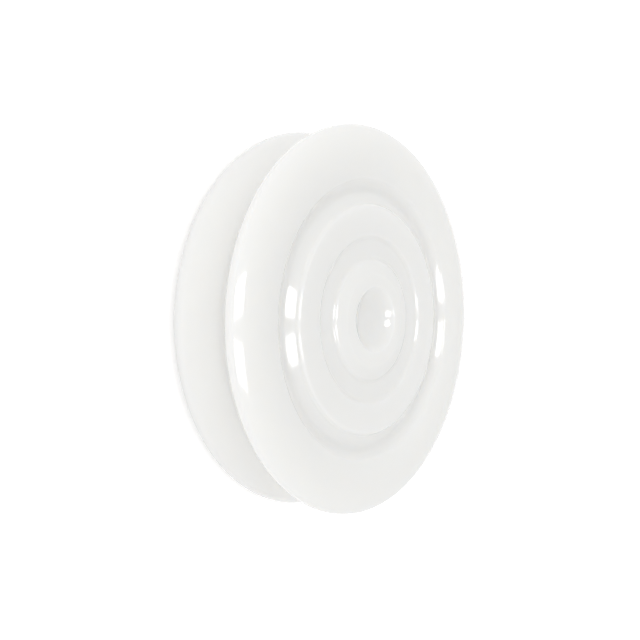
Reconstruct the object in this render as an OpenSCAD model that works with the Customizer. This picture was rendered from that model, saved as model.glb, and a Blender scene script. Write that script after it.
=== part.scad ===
// V groove wheel: a solid wheel moulded in one piece, with a V groove between two rims and domed lands on
// its side faces. The near hub end has a shallow dimple, the far one a blind bore for the axle.
// The axle's axis is Z, and the middle of the wheel is at z = 0.

/* [Rims] */
// Diameter over the rims
wheel_d = 50; // [44:0.5:60]
// Width over the outer edges of the two rims
rim_w = 9.3; // [9.1:0.05:9.35]
// Rounding of a rim's outer edge
rim_round = 0.4; // [0.1:0.05:0.45]

/* [V groove] */
// Width of the groove at the rims, before its edges are rounded
groove_w = 7.4; // [3:0.1:7.5]
// Angle between the two walls of the groove
groove_angle = 90; // [70:1:120]
// Rounding of the groove's outer edges
groove_round = 1.2; // [0.2:0.1:1.4]
// Rounding of the groove's root
root_round = 0.8; // [0.2:0.1:3]

/* [Lands] */
// How far in from the rim a land reaches, to the channel
land_wide = 6.8; // [6:0.1:7.6]
// Width over the two lands at their inner edges
land_w = 10.4; // [10.35:0.05:10.6]
// Width over the two lands where their flanks would meet, before the crest is rounded
land_peak_w = 12.1; // [11.6:0.05:12.15]
// How far in from the rim a land's flanks would meet
land_fall = 3; // [3:0.1:3.6]
// Share of a land's shorter flank taken up by the rounding of its crest
land_crest = 0.88; // [0.3:0.02:0.9]

/* [Channels] */
// How wide a channel is, from one wall across to the other
channel_wide = 3.45; // [3:0.05:4.2]
// Where a channel is deepest, as a share of its width in from the land
channel_low_at = 0.42; // [0.35:0.01:0.6]
// Thickness left between the two channels where they are deepest, before they are rounded
channel_web = 8.4; // [8:0.05:8.8]
// Height of the short steep wall at a channel's inner edge
channel_in_step = 0.55; // [0.4:0.05:0.7]
// Height of the short steep wall at a channel's outer edge
channel_out_step = 0.35; // [0.3:0.05:0.6]
// How far the two short steep walls lean over
channel_lean = 0.35; // [0.3:0.05:0.5]
// Rounding of a channel's bottom
channel_round = 1; // [0.2:0.1:1.5]
// Rounding of a channel's two outer edges
channel_edge_round = 0.7; // [0.2:0.05:0.75]
// Rounding at the feet of the short steep walls
channel_foot_round = 0.5; // [0.2:0.1:0.7]

/* [Discs] */
// Width over the two discs at their outer edges
disc_out_w = 10.85; // [10.6:0.05:11.1]
// Width over the two discs at their inner edges
disc_in_w = 10.55; // [10.2:0.05:10.6]
// Diameter of a ring recess at its outer edge
recess_out_d = 21.8; // [20:0.1:24]
// Diameter of a ring recess at its inner edge
recess_in_d = 15.4; // [14:0.1:17]
// Thickness left between the two ring recesses
recess_web = 9.85; // [9.8:0.05:10.3]
// How far a ring recess's walls lean over
recess_lean = 0.6; // [0.6:0.05:1]
// Rounding of a ring recess's edges and feet
recess_round = 1.2; // [0.2:0.05:1.25]

/* [Hub] */
// Width over the two hub ends
hub_w = 11.4; // [11.3:0.05:13]
// Diameter of a hub's flat end
hub_d = 12; // [10.5:0.1:13]
// Rounding between a hub's flat end and its flank
hub_round = 0.75; // [0.2:0.05:2]
// Width over the hub flanks at the ring recesses
flank_w = 10.55; // [10:0.05:10.6]

/* [Dimple in the near hub end] */
// Diameter of the dimple at the hub's end
dimple_d = 8.6; // [8.3:0.1:9.2]
// Diameter of the dimple's flat floor, before it is rounded into the wall
dimple_floor_d = 7; // [5:0.1:7.2]
// Depth of the dimple
dimple_depth = 1; // [0.7:0.05:1.2]
// Rounding between the dimple's floor and its wall
dimple_floor_round = 1.2; // [0.3:0.1:1.5]
// Rounding of the dimple's lip
dimple_lip_round = 0.9; // [0.2:0.1:1.3]

/* [Axle bore in the far hub end] */
// Diameter of the axle bore
bore_d = 5; // [3:0.1:6]
// Depth of the blind bore
bore_depth = 8; // [4:0.1:8.6]
// Rounding of the bore's mouth
mouth_round = 0.5; // [0.2:0.1:1.2]
// Rounding at the bore's blind end
bore_end_round = 0.4; // [0.1:0.1:1]

/* [Hidden] */

// Segments of the whole turn, and the largest turn between two points of an arc in the section
turn_fn = 180;
arc_step = 9;

wheel_r = wheel_d / 2;
channel_out_r = wheel_r - land_wide;
channel_in_r = channel_out_r - channel_wide;
channel_low_r = channel_out_r - channel_low_at * channel_wide;
land_in = [channel_out_r, land_w / 2];
land_peak = [wheel_r - land_fall, land_peak_w / 2];
land_out = [wheel_r, rim_w / 2];
flank_in = land_peak - land_in;
flank_out = land_out - land_peak;
crest_turn = acos(flank_in * flank_out / norm(flank_in) / norm(flank_out));
land_round = land_crest * min(norm(flank_in), norm(flank_out)) / tan(crest_turn / 2);
groove_depth = groove_w / 2 / tan(groove_angle / 2);

// Corners of a side face from the hub's end out to the groove: [radius, height, rounding]
side_face = [
    [hub_d / 2, hub_w / 2, hub_round],
    [recess_in_d / 2, flank_w / 2, recess_round],
    [recess_in_d / 2 + recess_lean, recess_web / 2, recess_round],
    [recess_out_d / 2 - recess_lean, recess_web / 2, recess_round],
    [recess_out_d / 2, disc_in_w / 2, recess_round],
    [channel_in_r, disc_out_w / 2, channel_edge_round],
    [channel_in_r + channel_lean, disc_out_w / 2 - channel_in_step, channel_foot_round],
    [channel_low_r, channel_web / 2, channel_round],
    [channel_out_r - channel_lean, land_w / 2 - channel_out_step, channel_foot_round],
    [land_in[0], land_in[1], channel_edge_round],
    [land_peak[0], land_peak[1], land_round],
    [land_out[0], land_out[1], rim_round],
    [wheel_r, groove_w / 2, groove_round],
];

// The near hub end from the axis out, and the far one from its mouth in to the axis
dimple = [
    [0, hub_w / 2 - dimple_depth, 0],
    [dimple_floor_d / 2, hub_w / 2 - dimple_depth, dimple_floor_round],
    [dimple_d / 2, hub_w / 2, dimple_lip_round],
];
bore = [
    [bore_d / 2, -hub_w / 2, mouth_round],
    [bore_d / 2, bore_depth - hub_w / 2, bore_end_round],
    [0, bore_depth - hub_w / 2, 0],
];

// The far side face repeats the near one, and the groove's root joins them
section_corners = concat(
    dimple,
    side_face,
    [[wheel_r - groove_depth, 0, root_round]],
    [for (i = [len(side_face) - 1:-1:0]) [side_face[i][0], -side_face[i][1], side_face[i][2]]],
    bore
);

function point(c) = [c[0], c[1]];
function unit(v) = v / norm(v);
function corner(corners, i) = corners[(i + len(corners)) % len(corners)];

// Points of the arc that rounds one corner: it turns about its centre from one flank to the other
function arc_points(before, here, after) =
    let (
        back = unit(point(before) - point(here)),
        ahead = unit(point(after) - point(here)),
        half_angle = acos(back * ahead) / 2,
        centre = point(here) + unit(back + ahead) * here[2] / sin(half_angle),
        start = point(here) + back * here[2] / tan(half_angle) - centre,
        turn = (180 - 2 * half_angle) * (cross(back, ahead) > 0 ? -1 : 1),
        steps = max(2, ceil(abs(turn) / arc_step))
    )
    [for (i = [0:steps]) centre + turned(start, turn * i / steps)];

function turned(v, angle) = [v[0] * cos(angle) - v[1] * sin(angle), v[0] * sin(angle) + v[1] * cos(angle)];

// A closed outline through its corners, each one rounded by an arc unless its rounding is 0
function rounded(corners) = [
    for (i = [0:len(corners) - 1]) each corners[i][2] == 0
        ? [point(corners[i])]
        : arc_points(corner(corners, i - 1), corners[i], corner(corners, i + 1))
];

// The whole wheel, one moulding turned about its axle
module wheel() {
    color("whitesmoke") rotate_extrude($fn = turn_fn) polygon(rounded(section_corners));
}

wheel();
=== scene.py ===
# %% [markdown]
# # A V groove wheel moulded in white plastic
# The wheel is one solid moulding: two rims with a V between them, domed lands on its side faces, a dimple
# in one hub end and a plain bore for the axle in the other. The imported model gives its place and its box,
# and everything below is built round that fixed frame, in metres, with the axle along Z.

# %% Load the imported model
import math

import bmesh
import bpy
from mathutils import Euler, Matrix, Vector


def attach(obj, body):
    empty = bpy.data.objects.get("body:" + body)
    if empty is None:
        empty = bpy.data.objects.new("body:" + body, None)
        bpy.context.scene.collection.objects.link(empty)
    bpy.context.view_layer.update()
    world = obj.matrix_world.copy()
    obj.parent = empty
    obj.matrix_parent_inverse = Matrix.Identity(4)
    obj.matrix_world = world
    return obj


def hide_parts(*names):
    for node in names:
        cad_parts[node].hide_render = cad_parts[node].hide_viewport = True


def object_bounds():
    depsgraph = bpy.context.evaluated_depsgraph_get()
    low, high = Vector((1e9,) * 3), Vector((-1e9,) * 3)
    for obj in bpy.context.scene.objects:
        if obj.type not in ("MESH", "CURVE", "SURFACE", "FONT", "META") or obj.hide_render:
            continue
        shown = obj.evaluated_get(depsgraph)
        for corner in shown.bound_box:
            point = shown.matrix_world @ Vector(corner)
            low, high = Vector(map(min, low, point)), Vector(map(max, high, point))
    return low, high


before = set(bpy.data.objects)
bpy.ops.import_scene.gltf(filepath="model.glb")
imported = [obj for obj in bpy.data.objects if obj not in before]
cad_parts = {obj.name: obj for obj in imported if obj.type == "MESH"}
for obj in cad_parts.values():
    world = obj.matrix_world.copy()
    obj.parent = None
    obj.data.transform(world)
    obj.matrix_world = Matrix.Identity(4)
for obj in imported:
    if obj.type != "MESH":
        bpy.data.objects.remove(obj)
cad_low, cad_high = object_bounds()
MM = 0.001
wheel_radius = (cad_high.x - cad_low.x) / 2
half_width = cad_high.z
print("wheel radius", round(wheel_radius / MM, 3), "mm, half width", round(half_width / MM, 3), "mm")

# %% [markdown]
# ## The section of the wheel
# A turned or moulded wheel is drawn as half of its section. Each corner is given by its distance from
# the axle, its height above the middle of the wheel and the radius that rounds it, all in millimetres.
# The same shape could be a curve with a Screw modifier, but a list of corners is what the mould maker
# works from, and each corner becomes one loop of edges that can be bevelled by its own amount.

# %% The main sizes, as radii and as heights above the middle of the wheel
RIM_RADIUS = wheel_radius / MM
RIM_HEIGHT = 4.65
GROOVE_HALF_WIDTH = 3.7
LAND_CREST_RADIUS, LAND_CREST_HEIGHT = RIM_RADIUS - 3.0, 6.05
CHANNEL_IN, CHANNEL_LOW, CHANNEL_OUT = 14.75, 16.8, 18.2
CHANNEL_IN_WALL, CHANNEL_OUT_WALL = 0.28, 0.25
RECESS_EDGE_HEIGHT, RECESS_FLOOR_HEIGHT = 5.275, 4.975
HUB_RADIUS = 6.0
HUB_END = half_width / MM
print("groove", 2 * GROOVE_HALF_WIDTH, "mm wide, hub", 2 * HUB_RADIUS, "mm across")

# %% The corners of a side face, from the hub's end out to the groove
HUB_ROUND, RECESS_ROUND = 0.75, 0.7
EDGE_ROUND, FOOT_ROUND, FLOOR_ROUND = 0.6, 0.4, 1.2
LAND_ROUND, RIM_ROUND, GROOVE_EDGE_ROUND = 8.56, 0.4, 1.2
side_face = [
    (HUB_RADIUS, HUB_END, HUB_ROUND),
    (7.7, RECESS_EDGE_HEIGHT, RECESS_ROUND),
    (8.1, RECESS_FLOOR_HEIGHT, RECESS_ROUND),
    (10.5, RECESS_FLOOR_HEIGHT, RECESS_ROUND),
    (10.9, RECESS_EDGE_HEIGHT, RECESS_ROUND),
    (CHANNEL_IN, 5.425, EDGE_ROUND),
    (CHANNEL_IN + CHANNEL_IN_WALL, 5.01, FOOT_ROUND),
    (CHANNEL_LOW, 4.31, FLOOR_ROUND),
    (CHANNEL_OUT - CHANNEL_OUT_WALL, 4.98, FOOT_ROUND),
    (CHANNEL_OUT, 5.2, EDGE_ROUND),
    (LAND_CREST_RADIUS, LAND_CREST_HEIGHT, LAND_ROUND),
    (RIM_RADIUS, RIM_HEIGHT, RIM_ROUND),
    (RIM_RADIUS, GROOVE_HALF_WIDTH, GROOVE_EDGE_ROUND),
]
print(len(side_face), "corners in a side face")

# %% The hub's two ends and the whole section
DIMPLE_DEPTH, DIMPLE_FLOOR_RADIUS, DIMPLE_LIP_RADIUS = 1.25, 2.6, 4.3
DIMPLE_BOWL_ROUND, DIMPLE_LIP_ROUND = 5.0, 0.3
BORE_RADIUS, BORE_END = 2.5, 2.3
BORE_MOUTH_ROUND, BORE_END_ROUND = 0.5, 0.4
GROOVE_ROOT_ROUND = 0.8
dimple = [
    (DIMPLE_FLOOR_RADIUS, HUB_END - DIMPLE_DEPTH, DIMPLE_BOWL_ROUND),
    (DIMPLE_LIP_RADIUS, HUB_END, DIMPLE_LIP_ROUND),
]
root = (RIM_RADIUS - GROOVE_HALF_WIDTH, 0.0, GROOVE_ROOT_ROUND)
far_face = [(r, -z, rounding) for r, z, rounding in reversed(side_face)]
bore = [
    (BORE_RADIUS, -HUB_END, BORE_MOUTH_ROUND),
    (BORE_RADIUS, BORE_END, BORE_END_ROUND),
]
section = dimple + side_face + [root] + far_face + bore
print(len(section), "corners in the whole section")

# %% [markdown]
# ## Spinning the section
# The section starts as one vertex, which is extruded from corner to corner. Spin then turns the chain of
# edges about the axle, as a lathe would. A cylinder with insets could be pushed into the same shape, but
# it would take a cut for each step, and the V would have to be squeezed in.

# %% Draw the sharp section with extrusions
SPIN_STEPS = 192


def only(vertices_picked, mesh):
    """Select just these vertices of the mesh that is being edited."""
    bpy.ops.mesh.select_all(action="DESELECT")
    for v in vertices_picked:
        v.select_set(True)
    mesh.select_flush(True)


bpy.ops.object.select_all(action="DESELECT")
bpy.ops.mesh.primitive_plane_add(size=2 * MM)
wheel = bpy.context.object
wheel.name = "moulded_wheel"
wheel.data.name = "moulded_wheel"
bpy.ops.object.mode_set(mode="EDIT")
bpy.ops.mesh.merge(type="CENTER")
bpy.ops.transform.translate(value=(section[0][0] * MM, 0, section[0][1] * MM))
for (r0, z0, _), (r1, z1, _) in zip(section, section[1:]):
    step = ((r1 - r0) * MM, 0, (z1 - z0) * MM)
    bpy.ops.mesh.extrude_region_move(TRANSFORM_OT_translate={"value": step})
drawn = bmesh.from_edit_mesh(wheel.data)
print("section:", len(drawn.verts), "corners and", len(drawn.edges), "edges")

# %% Turn it about the axle
WELD = 0.01
bpy.ops.mesh.select_all(action="SELECT")
bpy.ops.mesh.spin(steps=SPIN_STEPS, angle=2 * math.pi, center=(0, 0, 0), axis=(0, 0, 1))
bpy.ops.mesh.select_all(action="SELECT")
bpy.ops.mesh.remove_doubles(threshold=WELD * MM)
turned = bmesh.from_edit_mesh(wheel.data)
print("turned wall:", len(turned.verts), "vertices and", len(turned.faces), "faces")

# %% Close the dimple's floor and the bore's blind end, each with a small face round the axle
POLE_RADIUS = 0.3
for r, z, _ in (section[0], section[-1]):
    only([v for v in turned.verts if v.is_boundary and abs(v.co.z / MM - z) < WELD], turned)
    bpy.ops.mesh.edge_face_add()
    bpy.ops.mesh.inset(thickness=(r - POLE_RADIUS) * MM)
bpy.ops.mesh.select_all(action="SELECT")
bpy.ops.mesh.normals_make_consistent(inside=False)
print("closed:", not any(e.is_boundary for e in bmesh.from_edit_mesh(wheel.data).edges))

# %% [markdown]
# ## Rounding every edge
# Moulded plastic has no sharp edges. Each corner of the section is now a loop of edges round the wheel,
# and a bevel replaces the loop by an arc. The bevel's width is the distance from the corner to where the
# arc starts, which is the radius times the tangent of half the turn.

# %% Find each corner's bevel width
TURN_PER_SEGMENT = math.radians(5)
FEWEST_SEGMENTS = 2


def turn_at(i):
    """The angle in radians by which the section turns at corner i."""
    corners = [(0.0, section[0][1], 0.0)] + section + [(0.0, section[-1][1], 0.0)]
    before, here, after = (Vector(corner[:2]) for corner in corners[i : i + 3])
    return (here - before).angle(after - here)


bevels = []
for i, (_, _, rounding) in enumerate(section):
    turn = turn_at(i)
    segments = max(FEWEST_SEGMENTS, math.ceil(turn / TURN_PER_SEGMENT))
    bevels.append((rounding * math.tan(turn / 2) * MM, segments))
print("bevel segments in all:", sum(segments for _, segments in bevels))

# %% Bevel the loops one by one
NEAR = 0.002


def at_corner(v, r, z):
    """Whether a vertex lies on the loop of radius r and height z, both in millimetres."""
    return abs(math.hypot(v.co.x, v.co.y) / MM - r) < NEAR and abs(v.co.z / MM - z) < NEAR


for (r, z, _), (width, segments) in zip(section, bevels):
    mesh = bmesh.from_edit_mesh(wheel.data)
    only({v for v in mesh.verts if at_corner(v, r, z)}, mesh)
    bmesh.update_edit_mesh(wheel.data)
    bpy.ops.mesh.bevel(
        offset=width,
        offset_type="OFFSET",
        segments=segments,
        profile=0.5,
        clamp_overlap=False,
    )
bpy.ops.mesh.select_all(action="SELECT")
bpy.ops.mesh.normals_make_consistent(inside=False)
bpy.ops.object.mode_set(mode="OBJECT")
bpy.ops.object.shade_smooth()
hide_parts("wheel")
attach(wheel, "root")
print("rounded wheel:", len(wheel.data.vertices), "vertices and", len(wheel.data.polygons), "faces")

# %% [markdown]
# ## Milk-white moulded plastic
# Wheels like this are injection moulded in nylon or acetal. The plastic is white with a warm cast, glossy
# from the polished mould, and light goes about two millimetres into it, so that hollows stay pale. A plain
# white diffuse would look like chalk, so subsurface scattering gives the milky depth. Real mouldings sink
# a little as they cool, and a very shallow bump gives the gloss that faint unevenness.

# %% Colour helper


def linear(hex_colour):
    """An sRGB hex colour as the linear RGBA that Blender's sockets take."""
    channels = [int(hex_colour[k : k + 2], 16) / 255 for k in (1, 3, 5)]
    return [c / 12.92 if c <= 0.04045 else ((c + 0.055) / 1.055) ** 2.4 for c in channels] + [1.0]


PLASTIC_COLOUR = linear("#F8F6F3")
print("plastic colour, linear:", [round(c, 3) for c in PLASTIC_COLOUR])

# %% Node helper


def add_node(tree, kind, settings=(), links=()):
    """Add a node of this kind, set its properties and sockets, and link its inputs."""
    node = tree.nodes.new(kind)
    for name, value in dict(settings).items():
        if name in node.inputs:
            node.inputs[name].default_value = value
        else:
            setattr(node, name, value)
    for name, source in dict(links).items():
        tree.links.new(source, node.inputs[name])
    return node


# %% The white plastic
SCATTER_MM = 2.0
SINK_MM, SINK_DEPTH_MM = 9.0, 0.02
white = bpy.data.materials.new("white_acetal_moulded")
white.use_nodes = True
plastic = white.node_tree
shader = plastic.nodes["Principled BSDF"]
shader.inputs["Base Color"].default_value = PLASTIC_COLOUR
shader.inputs["Roughness"].default_value = 0.08
shader.inputs["IOR"].default_value = 1.5
shader.inputs["Subsurface Weight"].default_value = 1.0
shader.inputs["Subsurface Radius"].default_value = (1.0, 0.97, 0.92)
shader.inputs["Subsurface Scale"].default_value = SCATTER_MM * MM
place = add_node(plastic, "ShaderNodeTexCoord")
sink = add_node(
    plastic,
    "ShaderNodeTexNoise",
    {"Scale": 1 / (SINK_MM * MM), "Detail": 1.0, "Roughness": 0.4},
    {"Vector": place.outputs["Object"]},
)
waviness = add_node(
    plastic,
    "ShaderNodeBump",
    {"Strength": 0.5, "Distance": SINK_DEPTH_MM * MM},
    {"Height": sink.outputs["Fac"]},
)
plastic.links.new(waviness.outputs["Normal"], shader.inputs["Normal"])
wheel.data.materials.clear()
wheel.data.materials.append(white)
print("material:", white.name, "with", len(plastic.nodes), "nodes")

# %% [markdown]
# ## The camera
# The wheel lies on its hub. The camera looks down on it at about forty degrees and is rolled a quarter
# turn, so that in the picture the wheel stands upright with its axle pointing to the right and towards
# the viewer.

# %% Place the camera
CAMERA_PLACE = Vector((-3.351, 0.196, 2.617))
CAMERA_TURN = (-2.2, -50.49, -0.66)
LENS = 44.7
camera_data = bpy.data.cameras.new("camera")
camera = bpy.data.objects.new("camera", camera_data)
bpy.context.scene.collection.objects.link(camera)
camera.location = CAMERA_PLACE * wheel_radius
camera.rotation_euler = Euler([math.radians(a) for a in CAMERA_TURN])
camera_data.lens = LENS
camera_data.clip_start = 0.01
camera_data.clip_end = 10
bpy.context.scene.camera = camera
print("camera is", round(camera.location.length / MM, 1), "mm from the middle of the wheel")

# %% [markdown]
# ## Studio light
# A studio for white things is lit almost evenly from all round, a little more from one side, so that the
# plastic keeps its own shade and the groove stays pale. Two small soft boxes straight above the wheel are
# there for the bright glints along its roundings. They give gloss and no other light, because light from
# straight above would leave the groove in the shade of the rim over it.

# %% Add the lamps, with angles in degrees and lengths in wheel radii
BOX_RIGHT, BOX_DISTANCE, BOX_WIDTH = 50, 12, 3.2
BOX_POWER = 0.2


def soft_box(name, up, height):
    """A rectangular lamp to the right of the camera, at this angle above it, facing the wheel."""
    data = bpy.data.lights.new(name, "AREA")
    data.shape = "RECTANGLE"
    data.size = BOX_WIDTH * wheel_radius
    data.size_y = height * wheel_radius
    data.energy = BOX_POWER
    lamp = bpy.data.objects.new(name, data)
    bpy.context.scene.collection.objects.link(lamp)
    right, up = math.radians(BOX_RIGHT), math.radians(up)
    out = Vector((math.sin(right) * math.cos(up), math.sin(up), math.cos(right) * math.cos(up)))
    out.rotate(camera.rotation_euler)
    lamp.location = out * BOX_DISTANCE * wheel_radius
    lamp.rotation_mode = "QUATERNION"
    lamp.rotation_quaternion = out.to_track_quat("Z", "Y")
    lamp.visible_diffuse = False
    print(name, "at", [round(c / MM) for c in lamp.location], "mm")


soft_box("upper_box", up=3.5, height=2.0)
soft_box("lower_box", up=-13.5, height=2.3)

# %% The world


def seen_directly(tree):
    """1 for rays from the camera, a reflection or a clear material, and 0 for light that falls on things."""
    rays = add_node(tree, "ShaderNodeLightPath")
    total = rays.outputs["Is Camera Ray"]
    for kind in ("Is Glossy Ray", "Is Transmission Ray"):
        sources = {0: total, 1: rays.outputs[kind]}
        total = add_node(tree, "ShaderNodeMath", {"operation": "MAXIMUM"}, sources).outputs[0]
    return total


WHITE = linear("#FFFFFF")
BRIGHT_SIDE = Vector((-0.95, 0.3, 0.0))
SKY_LEVEL, SIDE_GAIN = 0.9, 0.3
world = bpy.data.worlds.new("studio")
bpy.context.scene.world = world
world.use_nodes = True
sky = world.node_tree
sky.nodes.clear()
way = add_node(sky, "ShaderNodeTexCoord")
dot = {"operation": "DOT_PRODUCT"}
sideways = add_node(sky, "ShaderNodeVectorMath", dot, {0: way.outputs["Generated"]})
sideways.inputs[1].default_value = BRIGHT_SIDE
gain = {"operation": "MULTIPLY_ADD"}
level = add_node(sky, "ShaderNodeMath", gain, {0: sideways.outputs["Value"]})
level.inputs[1].default_value = SIDE_GAIN
level.inputs[2].default_value = SKY_LEVEL
soft_light = add_node(sky, "ShaderNodeBackground", {"Color": WHITE}, {"Strength": level.outputs[0]})
white_beyond = add_node(sky, "ShaderNodeBackground", {"Color": WHITE, "Strength": 1.0})
either = add_node(sky, "ShaderNodeMixShader", {}, {"Fac": seen_directly(sky)})
sky.links.new(soft_light.outputs[0], either.inputs[1])
sky.links.new(white_beyond.outputs[0], either.inputs[2])
add_node(sky, "ShaderNodeOutputWorld", {}, {"Surface": either.outputs[0]})
print("light from", SKY_LEVEL - SIDE_GAIN, "to", SKY_LEVEL + SIDE_GAIN, "round the wheel")

# %% [markdown]
# ## The floor
# A plain pale floor, on which the wheel lies. It takes the wheel's shadow, and to the camera it is lifted
# by a little light of its own, so that it runs into the white beyond it.

# %% Lay the floor
FLOOR_SIZE, FLOOR_LIFT = 6, 0.4
bpy.ops.object.select_all(action="DESELECT")
bpy.ops.mesh.primitive_plane_add(size=FLOOR_SIZE, location=(0, 0, cad_low.z))
floor = bpy.context.object
floor.name = "floor"
floor_paint = bpy.data.materials.new("matt_white_floor")
floor_paint.use_nodes = True
ground = floor_paint.node_tree
ground.nodes.clear()
matt = add_node(ground, "ShaderNodeBsdfDiffuse", {"Color": linear("#EDEDED")})
glow = {"Color": (FLOOR_LIFT, FLOOR_LIFT, FLOOR_LIFT, 1.0)}
lift = add_node(ground, "ShaderNodeEmission", glow, {"Strength": seen_directly(ground)})
both = add_node(ground, "ShaderNodeAddShader", {}, {0: matt.outputs[0], 1: lift.outputs[0]})
add_node(ground, "ShaderNodeOutputMaterial", {}, {"Surface": both.outputs[0]})
floor.data.materials.append(floor_paint)
print("floor", FLOOR_SIZE, "m wide, at", round(cad_low.z / MM, 2), "mm")

bpy.context.scene.view_settings.view_transform = "Standard"
